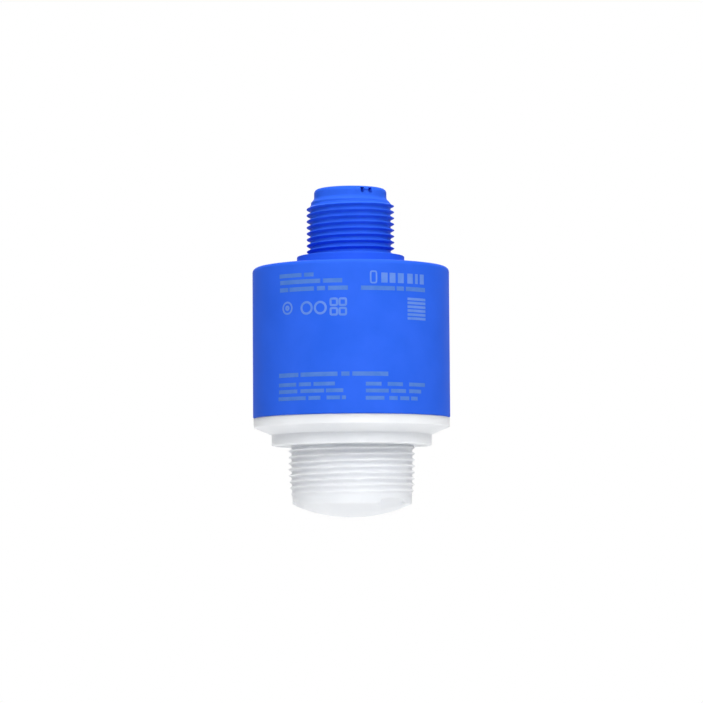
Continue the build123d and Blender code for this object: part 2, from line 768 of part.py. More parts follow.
with BuildPart() as gland_screw:
    with BuildSketch(Plane.XY.offset(gland_screw_z)):
        Circle(gland_bore_dia / 2 - gland_screw_clearance)
        Circle(gland_screw_bore / 2, mode=Mode.SUBTRACT)
    extrude(amount=gland_screw_height)
    with BuildSketch(Plane.XY.offset(gland_screw_z + gland_screw_height)):
        RegularPolygon(hex_drive_width / 2, 6, major_radius=False)
    extrude(amount=-hex_drive_depth, mode=Mode.SUBTRACT)
    chamfer(
        ring_edges(
            gland_screw,
            gland_bore_dia / 2 - gland_screw_clearance,
            gland_screw_z + gland_screw_height,
        ),
        small_edge,
    )
gland_screw.part.label = "gland_screw"
export_step(gland_screw.part, "parts/gland_screw.step")
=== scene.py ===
import json
import math
import bmesh
import bpy
import numpy as np
from mathutils import Matrix


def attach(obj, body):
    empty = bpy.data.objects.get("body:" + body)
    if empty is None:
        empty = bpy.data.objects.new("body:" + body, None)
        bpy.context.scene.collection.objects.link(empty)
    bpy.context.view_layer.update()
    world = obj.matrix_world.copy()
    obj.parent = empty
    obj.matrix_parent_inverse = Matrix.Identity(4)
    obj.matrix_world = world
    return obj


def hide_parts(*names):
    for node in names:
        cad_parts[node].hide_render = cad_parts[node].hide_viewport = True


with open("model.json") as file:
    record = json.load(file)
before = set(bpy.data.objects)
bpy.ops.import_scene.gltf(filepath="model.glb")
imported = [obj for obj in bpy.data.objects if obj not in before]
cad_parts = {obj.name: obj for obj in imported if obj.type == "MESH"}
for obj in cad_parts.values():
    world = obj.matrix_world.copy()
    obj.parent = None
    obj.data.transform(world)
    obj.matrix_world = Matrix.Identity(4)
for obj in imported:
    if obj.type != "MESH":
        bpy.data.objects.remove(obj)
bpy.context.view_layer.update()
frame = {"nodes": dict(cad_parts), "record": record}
nodes = frame["nodes"]
mm = 0.001
print("frame loaded,", len(nodes), "nodes")

# Camera and light. The camera looks up at the part from a little below it.
view = {"distance": 1106 * mm, "height": -42.5 * mm, "pitch": 4.045, "roll": -0.367, "lens": 150.14}
cameraData = bpy.data.cameras.new("camera")
cameraData.lens = view["lens"]
cameraData.clip_start = 0.05
camera = bpy.data.objects.new("camera", cameraData)
bpy.context.scene.collection.objects.link(camera)
camera.matrix_world = (
    Matrix.Translation((0.1 * mm, -view["distance"], view["height"]))
    @ Matrix.Rotation(math.radians(90 + view["pitch"]), 4, "X")
    @ Matrix.Rotation(math.radians(view["roll"]), 4, "Z")
)
bpy.context.scene.camera = camera
bpy.context.scene.view_settings.view_transform = "Standard"

lamps = {
    "key": {"place": (0.1, -1.0, 0.7), "size": 0.6, "power": 9.6},
    "left": {"place": (-0.9, -0.5, 0.5), "size": 0.6, "power": 1.8},
    "right": {"place": (0.9, -0.4, 0.5), "size": 0.6, "power": 2.2},
    "top": {"place": (0.0, -0.15, 1.0), "size": 0.9, "power": 9.0},
    "back": {"place": (0.0, 1.1, 0.6), "size": 0.9, "power": 3.5},
}
for name, lamp in lamps.items():
    data = bpy.data.lights.new(name, "AREA")
    data.size = lamp["size"]
    data.energy = lamp["power"]
    light = bpy.data.objects.new(name, data)
    bpy.context.scene.collection.objects.link(light)
    place = np.array(lamp["place"])
    towards = np.array([0, 0, 0.035]) - place
    side = np.cross(towards, [0, 1, 0] if name == "top" else [0, 0, 1])
    up = np.cross(side, towards)
    axes = np.array([side / np.linalg.norm(side), up / np.linalg.norm(up), -towards / np.linalg.norm(towards)])
    turned = Matrix(axes.T.tolist()).to_4x4()
    light.matrix_world = Matrix.Translation(lamp["place"]) @ turned
print("camera and lamps set")


# Materials
class Wire:
    # one output of a node; an expression on numbers adds Math nodes
    def __init__(self, sheet, socket):
        self.sheet, self.socket = sheet, socket

    def maths(self, operation, first, second):
        return self.sheet.add("ShaderNodeMath", {"operation": operation}, {0: first, 1: second})

    def __add__(self, other): return self.maths("ADD", self, other)
    def __radd__(self, other): return self.maths("ADD", other, self)
    def __sub__(self, other): return self.maths("SUBTRACT", self, other)
    def __rsub__(self, other): return self.maths("SUBTRACT", other, self)
    def __mul__(self, other): return self.maths("MULTIPLY", self, other)
    def __rmul__(self, other): return self.maths("MULTIPLY", other, self)


class Sheet:
    # the node tree of one material, with its Principled shader
    def __init__(self, name):
        self.material = bpy.data.materials.new(name)
        self.material.use_nodes = True
        self.tree = self.material.node_tree
        self.shader = self.tree.nodes["Principled BSDF"]

    def plug(self, node, sockets):
        for key, value in sockets.items():
            if isinstance(value, Wire):
                self.tree.links.new(value.socket, node.inputs[key])
            else:
                node.inputs[key].default_value = value

    def add(self, kind, settings={}, sockets={}, out=0):
        node = self.tree.nodes.new(kind)
        for key, value in settings.items():
            if key == "stops":
                ramp = node.color_ramp
                for index, (place, shade) in enumerate(value):
                    stop = ramp.elements[index] if index < 2 else ramp.elements.new(place)
                    stop.position, stop.color = place, (shade, shade, shade, 1)
            else:
                setattr(node, key, value)
        self.plug(node, sockets)
        return Wire(self, node.outputs[out])

    def place(self, stretch=(1, 1, 1)):
        # Object coordinates, stretched along the three axes
        coords = self.add("ShaderNodeTexCoord", out="Object")
        return self.add("ShaderNodeMapping", {}, {"Vector": coords, "Scale": stretch})

    def noise(self, where, scale, detail=3.0):
        return self.add("ShaderNodeTexNoise", {}, {"Vector": where, "Scale": scale, "Detail": detail})

    def ramp(self, value, stops):
        return self.add("ShaderNodeValToRGB", {"stops": stops}, {0: value})

    def blend(self, factor, first, second, kind="MIX"):
        return self.add(
            "ShaderNodeMix", {"data_type": "RGBA", "blend_type": kind}, {0: factor, 6: first, 7: second}, out=2
        )

    def bump(self, height, strength, distance, under=None):
        sockets = {"Height": height, "Strength": strength, "Distance": distance}
        return self.add("ShaderNodeBump", {}, sockets | ({"Normal": under} if under else {}))


# One entry for each finish: two tones that the colour drifts between, the drift's scale per metre,
# the range of roughness, the grain's scale per metre with its height in metres, and what else it has:
# metal, its shine, how milky it is, brushed grain or copper tracks.
finishes = {
    "housing_blue": dict(
        tones=((0.022, 0.112, 0.72), (0.028, 0.124, 0.77)), drift=60,
        rough=(0.5, 0.6), grain=2600, height=1.6e-5, shine=0.04,
    ),
    "fitting_white": dict(
        tones=((0.80, 0.82, 0.855), (0.835, 0.855, 0.885)), drift=50,
        rough=(0.42, 0.54), grain=2200, height=1.4e-5, shine=0.3, milky=0.9,
    ),
    "black_rubber": dict(
        tones=((0.016, 0.016, 0.018), (0.03, 0.03, 0.032)), drift=300,
        rough=(0.7, 0.85), grain=3500, height=2.5e-5,
    ),
    "cast_metal": dict(
        tones=((0.56, 0.57, 0.58), (0.70, 0.71, 0.72)), drift=180,
        rough=(0.38, 0.55), grain=1800, height=3e-5, metal=1.0,
    ),
    "screw_steel": dict(
        tones=((0.50, 0.52, 0.55), (0.68, 0.69, 0.70)), drift=500,
        rough=(0.22, 0.36), grain=4000, height=6e-6, metal=1.0,
    ),
    "board_green": dict(
        tones=((0.006, 0.11, 0.035), (0.012, 0.17, 0.06)), drift=220,
        rough=(0.25, 0.38), grain=1500, height=8e-6, tracks=True,
    ),
    "chip_black": dict(
        tones=((0.012, 0.012, 0.014), (0.024, 0.024, 0.026)), drift=700,
        rough=(0.5, 0.65), grain=5000, height=8e-6,
    ),
    "can_metal": dict(
        tones=((0.60, 0.60, 0.61), (0.76, 0.76, 0.77)), drift=250,
        rough=(0.22, 0.38), grain=900, height=5e-6, metal=1.0, brushed=True,
    ),
    "foam_grey": dict(
        tones=((0.03, 0.03, 0.034), (0.08, 0.08, 0.085)), drift=2200,
        rough=(0.85, 0.95), grain=2600, height=1.2e-4,
    ),
    "connector_black": dict(
        tones=((0.014, 0.014, 0.015), (0.026, 0.026, 0.028)), drift=400,
        rough=(0.4, 0.55), grain=3000, height=1e-5,
    ),
    "spacer_brass": dict(
        tones=((0.66, 0.46, 0.18), (0.80, 0.60, 0.28)), drift=350,
        rough=(0.22, 0.36), grain=1600, height=6e-6, metal=1.0, brushed=True,
    ),
    "fuse_ceramic": dict(
        tones=((0.66, 0.62, 0.54), (0.78, 0.74, 0.66)), drift=900,
        rough=(0.3, 0.45), grain=3500, height=1e-5,
    ),
    "ferrite_grey": dict(
        tones=((0.04, 0.04, 0.045), (0.085, 0.085, 0.09)), drift=900,
        rough=(0.55, 0.72), grain=3200, height=3e-5,
    ),
    "terminal_green": dict(
        tones=((0.015, 0.24, 0.075), (0.025, 0.32, 0.11)), drift=260,
        rough=(0.38, 0.5), grain=2600, height=1.2e-5,
    ),
    "washer_plastic": dict(
        tones=((0.50, 0.50, 0.48), (0.64, 0.64, 0.62)), drift=300,
        rough=(0.45, 0.6), grain=2600, height=1.2e-5,
    ),
    "gland_black": dict(
        tones=((0.014, 0.014, 0.016), (0.028, 0.028, 0.03)), drift=260,
        rough=(0.42, 0.58), grain=2400, height=2e-5,
    ),
    "print_faint": dict(
        tones=((0.055, 0.168, 0.56), (0.08, 0.20, 0.60)), drift=250,
        rough=(0.45, 0.6), grain=3000, height=8e-6, shine=0.2,
    ),
    "print_pale": dict(
        tones=((0.09, 0.215, 0.66), (0.12, 0.245, 0.70)), drift=250,
        rough=(0.45, 0.6), grain=3000, height=8e-6, shine=0.2,
    ),
}


def makeFinish(name, values):
    sheet = Sheet(name)
    where = sheet.place()
    drift = sheet.noise(where, values["drift"], 4.0)
    mask = sheet.ramp(drift, [(0.35, 0.0), (0.65, 1.0)])
    low, high = [(*tone, 1.0) for tone in values["tones"]]
    colour = sheet.blend(mask, low, high)
    grain = sheet.noise(where, values["grain"], 2.0)
    if values.get("brushed"):
        grain = sheet.noise(sheet.place((1, 1, 14)), values["grain"], 4.0)
    relief = grain
    if values.get("tracks"):
        # copper tracks under the green mask, as stepped bands along x and y
        bands = sheet.add(
            "ShaderNodeTexBrick",
            {"offset": 0.35, "squash": 0.8},
            {
                "Vector": where, "Color1": (0, 0, 0, 1), "Color2": (0.2, 0.2, 0.2, 1), "Mortar": (1, 1, 1, 1),
                "Scale": 160.0, "Mortar Size": 0.06, "Mortar Smooth": 0.2, "Brick Width": 0.9, "Row Height": 0.35,
            },
        )
        colour = sheet.blend(bands, colour, (0.02, 0.26, 0.09, 1.0))
        relief = grain * 0.4 + bands * 0.6
    first, last = values["rough"]
    rough = first + (last - first) * mask
    sheet.plug(sheet.shader, {
        "Base Color": colour, "Roughness": rough + (grain - 0.5) * 0.06,
        "Metallic": values.get("metal", 0.0), "Specular IOR Level": values.get("shine", 0.5),
        "Subsurface Weight": values.get("milky", 0.0), "Subsurface Scale": 4 * mm,
        "Subsurface Radius": (1, 1, 1), "Normal": sheet.bump(relief, 0.6, values["height"]),
    })
    return sheet.material


looks = {name: makeFinish(name, values) for name, values in finishes.items()}
for piece in frame["record"]["subparts"]:
    mesh = nodes[piece["node"]].data
    mesh.materials.clear()
    mesh.materials.append(looks[piece["material_slot"]])
print("finishes made:", len(looks))


# Shapes
threads = {"pitch": 25.4 / 11, "lean": math.radians(27.5)}


def roundCorners(corners, steps=6):
    # each (r, z, fillet) corner becomes an arc tangent to its two sides; a fillet of 0 keeps the corner
    points = []
    for index, (r, z, fillet) in enumerate(corners):
        here = np.array([r, z], float)
        if fillet == 0:
            points.append(here[None])
            continue
        before = np.array(corners[index - 1][:2]) - here
        after = np.array(corners[index + 1][:2]) - here
        before, after = before / np.linalg.norm(before), after / np.linalg.norm(after)
        half = 0.5 * math.acos(float(before @ after))
        middle = before + after
        centre = here + middle / np.linalg.norm(middle) * fillet / math.sin(half)
        start = here + before * fillet / math.tan(half) - centre
        end = here + after * fillet / math.tan(half) - centre
        sweep = math.pi - 2 * half
        share = np.linspace(0, 1, steps)[:, None]
        points.append(centre + (start * np.sin((1 - share) * sweep) + end * np.sin(share * sweep)) / math.sin(sweep))
    return np.concatenate(points)


def threadDrop(distance, depth, crest, root):
    # fall from the crest at a height away from it: an arc of radius crest, a straight flank, an arc of radius root
    pitch, lean = threads["pitch"], threads["lean"]
    fall = crest * (1 - math.sin(lean))
    straight = (pitch / 2 - (crest + root) * math.cos(lean)) / math.tan(lean)
    full = fall + straight + root * (1 - math.sin(lean))
    away = np.abs((distance / pitch + 0.5) % 1.0 - 0.5) * pitch
    back = pitch / 2 - away
    crestArc = crest - np.sqrt(np.clip(crest**2 - away**2, 0, None))
    rootArc = full - root + np.sqrt(np.clip(root**2 - back**2, 0, None))
    flank = fall + (away - crest * math.cos(lean)) / math.tan(lean)
    drop = np.where(away < crest * math.cos(lean), crestArc, np.where(back < root * math.cos(lean), rootArc, flank))
    return drop * depth / full


def threadRows(angles, low, high, crestHeight, crest, root):
    # rows that climb with the helix, one pitch a turn, cut off at the thread's two ends
    pitch = threads["pitch"]
    near = crest * math.cos(threads["lean"]) / pitch
    far = 0.5 - root * math.cos(threads["lean"]) / pitch
    marks = np.concatenate([[0, 0.5 * near, near, (near + far) / 2], np.linspace(far, 0.5, 4)[:-1]])
    phases = np.concatenate([marks, [0.5], 1 - marks[:0:-1]])
    first = math.floor((low - crestHeight) / pitch) - 1
    turns = np.arange(first, math.ceil((high - crestHeight) / pitch) + 1)
    starts = (turns[:, None] + phases[None, :]).ravel()
    heights = crestHeight + pitch * (starts[:, None] + angles[None, :] / (2 * math.pi))
    # a turn further round, each row has climbed to the place of the one a pitch above it
    seam = np.minimum(np.arange(len(starts)) + len(phases), len(starts) - 1)
    return np.clip(heights, low, high), seam


def addHeights(outline, heights):
    # a rising outline with more points on it, at the given heights
    z = np.unique(np.concatenate([outline[:, 1], heights]))
    return np.stack([np.interp(z, outline[:, 1], outline[:, 0]), z], -1)


def withEdges(columns, azimuths, half):
    # evenly spaced angles, and close pairs at both edges of each recess
    edges = [azimuth + side * half + step for azimuth in azimuths for side in (-1, 1) for step in (-0.08, 0.08)]
    return np.radians(np.unique(np.concatenate([np.linspace(0, 360, columns, endpoint=False), np.array(edges) % 360])))


def within(angles, azimuth, half):
    # true for the angles closer to an azimuth than half
    return np.abs((np.degrees(angles) - azimuth + 180) % 360 - 180) < half


def stackRows(angles, sections):
    # sections are (radii, heights, seam) arrays; a plain profile point is the same all round
    radii, heights, seams, base = [], [], [], 0
    for section in sections:
        if isinstance(section, tuple):
            r, z, seam = section
        else:
            r = np.repeat(section[:, :1], len(angles), 1)
            z = np.repeat(section[:, 1:], len(angles), 1)
            seam = np.arange(len(section))
        radii.append(r)
        heights.append(z)
        seams.append(seam + base)
        base += len(r)
    return np.concatenate(radii), np.concatenate(heights), np.concatenate(seams)


def turnedGrid(angles, radii, heights, seam, closed):
    # point (row, column) is (r cos a, r sin a, z); the last column joins column 0 of the row that seam names
    rows, columns = radii.shape
    points = np.stack([radii * np.cos(angles), radii * np.sin(angles), heights], -1).reshape(-1, 3)
    row = np.arange(rows)[:, None]
    here = row * columns + np.arange(columns)[None, :]
    beside = np.concatenate([here[:, 1:], seam[:, None] * columns], 1)
    if closed:
        here, beside = np.vstack([here, here[:1]]), np.vstack([beside, beside[:1]])
    faces = np.stack([here[:-1], beside[:-1], beside[1:], here[1:]], -1).reshape(-1, 4)
    return points, faces


def polarBlocks(inner, outer, thick, low, high, azimuths):
    # upright blocks that stand across a ring, one at each azimuth
    turn = np.radians(azimuths)[:, None]
    x = np.array([inner, outer, outer, inner] * 2)[None, :]
    y = np.array([-1, -1, 1, 1] * 2)[None, :] * thick / 2
    z = np.array([low] * 4 + [high] * 4)[None, :] * np.ones_like(turn)
    points = np.stack([x * np.cos(turn) - y * np.sin(turn), x * np.sin(turn) + y * np.cos(turn), z], -1)
    sides = np.array([[3, 2, 1, 0], [4, 5, 6, 7], [0, 1, 5, 4], [1, 2, 6, 5], [2, 3, 7, 6], [3, 0, 4, 7]])
    faces = (np.arange(len(azimuths))[:, None, None] * 8 + sides[None]).reshape(-1, 4)
    return points.reshape(-1, 3), faces


def ringOfPosts(circle, radius, low, high, azimuths, sides=32):
    # closed cylinders that stand on a circle, one at each azimuth
    around = np.linspace(0, 2 * math.pi, sides, endpoint=False)
    profile = np.array([[0, low], [radius, low], [radius, high], [0, high]])
    radii, heights, seam = stackRows(around, [profile])
    points, faces = turnedGrid(around, radii, heights, seam, True)
    turn = np.radians(azimuths)[:, None]
    shift = np.stack([circle * np.cos(turn), circle * np.sin(turn), 0 * turn], -1)
    allFaces = faces[None] + np.arange(len(azimuths))[:, None, None] * len(points)
    return (points[None] + shift).reshape(-1, 3), allFaces.reshape(-1, 4)


def buildPiece(name, parts, look, sharpest=32.0, replaced=None):
    # joins parts given in millimetres, merges what coincides and turns every face outwards
    points = np.concatenate([part[0] for part in parts]) * mm
    starts = np.cumsum([0] + [len(part[0]) for part in parts[:-1]])
    faces = np.concatenate([part[1] + start for part, start in zip(parts, starts)])
    mesh = bpy.data.meshes.new(name)
    mesh.from_pydata(points.tolist(), [], faces.tolist())
    work = bmesh.new()
    work.from_mesh(mesh)
    bmesh.ops.remove_doubles(work, verts=work.verts, dist=1e-6)
    bmesh.ops.dissolve_degenerate(work, edges=work.edges, dist=1e-7)
    bmesh.ops.delete(work, geom=[edge for edge in work.edges if not edge.link_faces], context="EDGES")
    bmesh.ops.recalc_face_normals(work, faces=work.faces)
    for face in work.faces:
        face.smooth = True
    limit = math.radians(sharpest)
    for edge in work.edges:
        edge.smooth = edge.calc_face_angle(0) < limit
    loose = sum(not edge.is_manifold for edge in work.edges)
    work.to_mesh(mesh)
    work.free()
    mesh.materials.append(looks[look])
    piece = bpy.data.objects.new(name, mesh)
    bpy.context.scene.collection.objects.link(piece)
    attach(piece, "root")
    if replaced:
        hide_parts(replaced)
    print(name, "faces", len(mesh.polygons), "open edges", loose)
    return piece


# Blue housing: body, flange, threaded nipple, collar with its key slots, and the hollow inside
housing = {
    "joint": 10.45, "footBevel": 0.4, "bodyRadius": 37.22, "roof": 67.25, "edgeRadius": 1.7,
    "flangeRadius": 20.35, "flangeFoot": 0.5, "flangeTop": 71.6, "flangeEdge": 0.3, "threadRadius": 16.62,
    "threadDepth": 1.38, "crestHeight": 90.84, "crest": 0.12, "root": 0.6, "lastTurn": (0.05, 0.3),
    "neckRadius": 14.95, "neckTop": 92.2, "collarRadius": 13.75, "collarFoot": 93.5, "collarTop": 97.33,
    "collarEdge": 1.6,
    "keyAzimuths": (-70.6, -56.6), "keyWidth": 1.35, "keyHeights": (94.8, 96.7), "keyDepth": 2.2,
    "bridgeHeights": (95.45, 96.05), "bridgeDepth": 0.4,
    "boreRadius": 10.0, "boreBevel": 0.5, "boreFloor": 74.9, "entryRadius": 4.3, "coreTop": 71.9, "coreRadius": 10.0,
    "ceiling": 63.85, "cavityRadius": 34.05, "cavityEdge": 3.0, "snapHeights": (17.9, 19.8), "snapDepth": 0.7,
    "mouth": 11.05, "mouthBevel": 0.6, "ribReach": (28.65, 34.55), "ribThick": 1.6, "ribFoot": 30.45, "ribs": 6,
    "columns": 216,
}


def makeHousing(h):
    half = math.degrees(h["keyWidth"] / 2 / h["collarRadius"])
    angles = withEdges(h["columns"], h["keyAzimuths"], half)
    body = roundCorners([
        (h["bodyRadius"] - h["footBevel"], h["joint"], 0), (h["bodyRadius"], h["joint"] + h["footBevel"], 0),
        (h["bodyRadius"], h["roof"], h["edgeRadius"]), (h["flangeRadius"], h["roof"], h["flangeFoot"]),
        (h["flangeRadius"], h["flangeTop"], h["flangeEdge"]), (h["threadRadius"] + 0.4, h["flangeTop"], 0),
    ])
    z, seam = threadRows(angles, h["flangeTop"], h["neckTop"], h["crestHeight"], h["crest"], h["root"])
    turned = angles / (2 * math.pi)
    climb = (z - h["crestHeight"]) / threads["pitch"] - turned
    drop = threadDrop(climb * threads["pitch"], h["threadDepth"], h["crest"], h["root"])
    # the last turn sinks into the neck between two counts of turns from azimuth 0
    first, last = h["lastTurn"]
    sunk = np.clip((np.round(climb - 1e-6) + turned - first) / (last - first), 0, 1)
    sunk = sunk * sunk * (3 - 2 * sunk)
    r = (h["threadRadius"] - drop) * (1 - sunk) + h["neckRadius"] * sunk
    # a cone from the collar's foot cuts what stands out above the last crest
    slope = (h["neckRadius"] - h["collarRadius"]) / (h["collarFoot"] - h["neckTop"])
    cone = h["collarRadius"] + slope * (h["collarFoot"] - z)
    r = np.where(z > h["crestHeight"], np.minimum(r, cone), r)
    neck = roundCorners([
        (h["neckRadius"], h["neckTop"], 0), (h["collarRadius"], h["collarFoot"], h["collarEdge"]),
        (h["collarRadius"], h["collarTop"], h["collarEdge"]), (h["boreRadius"] + h["boreBevel"], h["collarTop"], 0),
    ], 10)[:-1]
    levels = np.array(h["keyHeights"] + h["bridgeHeights"])
    neck = addHeights(neck, np.concatenate([levels - 0.02, levels + 0.02]))
    (snapFoot, snapTop), snapRadius = h["snapHeights"], h["cavityRadius"] + h["snapDepth"]
    above = roundCorners([
        (h["boreRadius"] + h["boreBevel"], h["collarTop"], 0), (h["boreRadius"], h["collarTop"] - h["boreBevel"], 0),
        (h["boreRadius"], h["boreFloor"], 0), (h["entryRadius"], h["boreFloor"], 0),
        (h["entryRadius"], h["coreTop"], 0), (h["coreRadius"], h["coreTop"], 0), (h["coreRadius"], h["ceiling"], 0.5),
        (h["cavityRadius"], h["ceiling"], h["cavityEdge"]), (h["cavityRadius"], snapTop, 0), (snapRadius, snapTop, 0),
        (snapRadius, snapFoot, 0), (h["cavityRadius"], snapFoot, 0), (h["cavityRadius"], h["mouth"], 0),
        (h["cavityRadius"] + h["mouthBevel"], h["joint"], 0),
    ])
    radii, heights, seam = stackRows(angles, [body, (r, z, seam), neck, above])
    # key slots and the bridge between them: the collar's radius is held back inside their edges
    middle, reach = np.mean(h["keyAzimuths"]), np.ptp(h["keyAzimuths"]) / 2
    slots = within(angles, h["keyAzimuths"][0], half) | within(angles, h["keyAzimuths"][1], half)
    for inside, (low, high), depth in (
        (slots, h["keyHeights"], h["keyDepth"]), (within(angles, middle, reach), h["bridgeHeights"], h["bridgeDepth"]),
    ):
        recess = inside[None, :] & (heights > low) & (heights < high) & (radii > h["boreRadius"] + 1)
        radii = np.where(recess, np.minimum(radii, h["collarRadius"] - depth), radii)
    azimuths = np.arange(h["ribs"]) * 360.0 / h["ribs"]
    ribs = polarBlocks(*h["ribReach"], h["ribThick"], h["ribFoot"], h["ceiling"] + 0.5, azimuths)
    return buildPiece(
        "housing_skin", [turnedGrid(angles, radii, heights, seam, True), ribs],
        "housing_blue", replaced="housing",
    )


makeHousing(housing)

# White process fitting: lens, threaded barrel, ring, skirt, band, and the spigot inside the housing
fitting = {
    "tip": -26.9, "rim": -22.0, "barrelRadius": 22.5, "threadEnd": -19.0, "threadRadius": 23.9, "threadDepth": 1.2,
    "crestHeight": -3.13, "crest": 0.12, "root": 0.6, "taperFrom": -9.6, "taper": 0.0127,
    "notchAzimuth": -47.0, "notchHeight": 2.1, "notchWidth": 11.6, "rimEdge": 0.6,
    "ringRadius": 30.2, "ringTop": 4.1, "bandRadius": 37.0, "skirtTop": 7.0, "edge": 0.5, "joint": 10.45,
    "jointBevel": 0.25, "spigotRadius": 33.95, "grooveHeights": (12.65, 15.85), "grooveDepth": 2.0,
    "beadRadius": 34.6, "beadHeights": (18.05, 19.15, 19.65), "spigotTop": 22.45, "spigotBore": 30.75,
    "ledge": 8.0, "moat": (21.925, 26.925), "moatFloor": 3.2, "boreRadius": 19.0, "lensBack": -18.0,
    "ribReach": (21.5, 27.3), "ribThick": 1.5, "ribs": 9, "postCircle": 24.425, "postRadius": 2.8, "posts": 3,
    "columns": 216,
}


def makeFitting(f):
    notches = f["notchAzimuth"] + np.arange(3) * 120.0
    angles = withEdges(f["columns"], notches, math.degrees(math.asin(f["notchWidth"] / 2 / f["barrelRadius"])))
    rise = f["rim"] - f["tip"]
    sphere = (f["barrelRadius"] ** 2 + rise**2) / (2 * rise)
    out = np.concatenate([np.linspace(0, 17, 18), np.linspace(17.4, f["barrelRadius"] - f["rimEdge"], 15)])
    dome = np.stack([out, f["tip"] + sphere - np.sqrt(sphere**2 - out**2)], -1)
    # the rim is a curve from the lens's edge, drawn towards the corner, to the barrel
    share = np.linspace(0, 1, 7)[1:, None]
    corner = np.array([f["barrelRadius"], f["rim"]])
    rim = dome[-1] * (1 - share) ** 2 + 2 * corner * share * (1 - share) + (corner + [0, f["rimEdge"]]) * share**2
    up = np.linspace(f["rim"] + f["rimEdge"] + 0.2, f["threadEnd"] - 0.05, 12)
    barrel = np.stack([np.full_like(up, f["barrelRadius"]), up], -1)
    z, seam = threadRows(angles, f["threadEnd"], 0.0, f["crestHeight"], f["crest"], f["root"])
    climb = threads["pitch"] * angles / (2 * math.pi)
    drop = threadDrop(z - f["crestHeight"] - climb, 1.0, f["crest"], f["root"])
    crest = f["threadRadius"] - f["taper"] * np.clip(f["taperFrom"] - z, 0, None) ** 2
    depth = np.minimum(f["threadDepth"], (crest - f["barrelRadius"]) * 0.9)
    r = crest - depth * drop
    grooveFoot, grooveTop = f["grooveHeights"]
    grooveRadius = f["spigotRadius"] - f["grooveDepth"]
    beadFoot, beadTop, beadEnd = f["beadHeights"]
    moatIn, moatOut = f["moat"]
    above = roundCorners([
        (25.0, 0, 0), (f["ringRadius"], 0, f["edge"]), (f["ringRadius"], f["ringTop"], f["edge"]),
        (f["bandRadius"], f["skirtTop"], f["edge"]), (f["bandRadius"], f["joint"] - f["jointBevel"], 0),
        (f["bandRadius"] - f["jointBevel"], f["joint"], 0), (f["spigotRadius"], f["joint"], 0),
        (f["spigotRadius"], grooveFoot, 0), (grooveRadius, grooveFoot, 0),
        (grooveRadius, grooveTop, 0), (f["spigotRadius"], grooveTop, 0),
        (f["spigotRadius"], beadFoot, 0), (f["beadRadius"], beadFoot, 0), (f["beadRadius"], beadTop, 0),
        (f["beadRadius"] - 0.5, beadEnd, 0), (f["spigotRadius"], beadEnd, 0),
        (f["spigotRadius"], f["spigotTop"] - 0.5, 0), (f["spigotRadius"] - 0.5, f["spigotTop"], 0),
        (f["spigotBore"], f["spigotTop"], 0), (f["spigotBore"], f["ledge"], 0),
        (moatOut, f["ledge"], 0), (moatOut, f["moatFloor"], 0), (moatIn, f["moatFloor"], 0), (moatIn, f["ledge"], 0),
        (f["boreRadius"], f["ledge"], 0), (f["boreRadius"], f["lensBack"], 0), (0, f["lensBack"], 0),
    ])
    radii, heights, seam = stackRows(angles, [dome, rim, barrel, (r, z, seam), above])
    points, faces = turnedGrid(angles, radii, heights, seam, False)
    # notches in the rim: points past a floor at 45 degrees are brought back onto it
    outside = (np.hypot(points[:, 0], points[:, 1]) > f["boreRadius"]) | (points[:, 2] < f["lensBack"] - 0.1)
    for azimuth in np.radians(notches):
        outward = np.array([math.cos(azimuth), math.sin(azimuth), -1.0])
        across = np.abs(points[:, 1] * math.cos(azimuth) - points[:, 0] * math.sin(azimuth)) < f["notchWidth"] / 2
        past = points @ outward - (f["barrelRadius"] - f["rim"] - f["notchHeight"])
        past = np.where(outside & across & (points[:, 2] < f["threadEnd"] + 2), np.clip(past, 0, None), 0)
        points = points - past[:, None] * outward[None, :] / 2
    foot = f["moatFloor"] - 0.2
    azimuths = 90.0 + np.arange(f["ribs"]) * 360.0 / f["ribs"]
    ribs = polarBlocks(*f["ribReach"], f["ribThick"], foot, f["ledge"], azimuths)
    azimuths = 90.0 + np.arange(f["posts"]) * 360.0 / f["posts"]
    posts = ringOfPosts(f["postCircle"], f["postRadius"], foot, f["ledge"], azimuths)
    return buildPiece(
        "fitting_skin", [(points, faces), ribs, posts],
        "fitting_white", replaced="process_fitting",
    )


makeFitting(fitting)

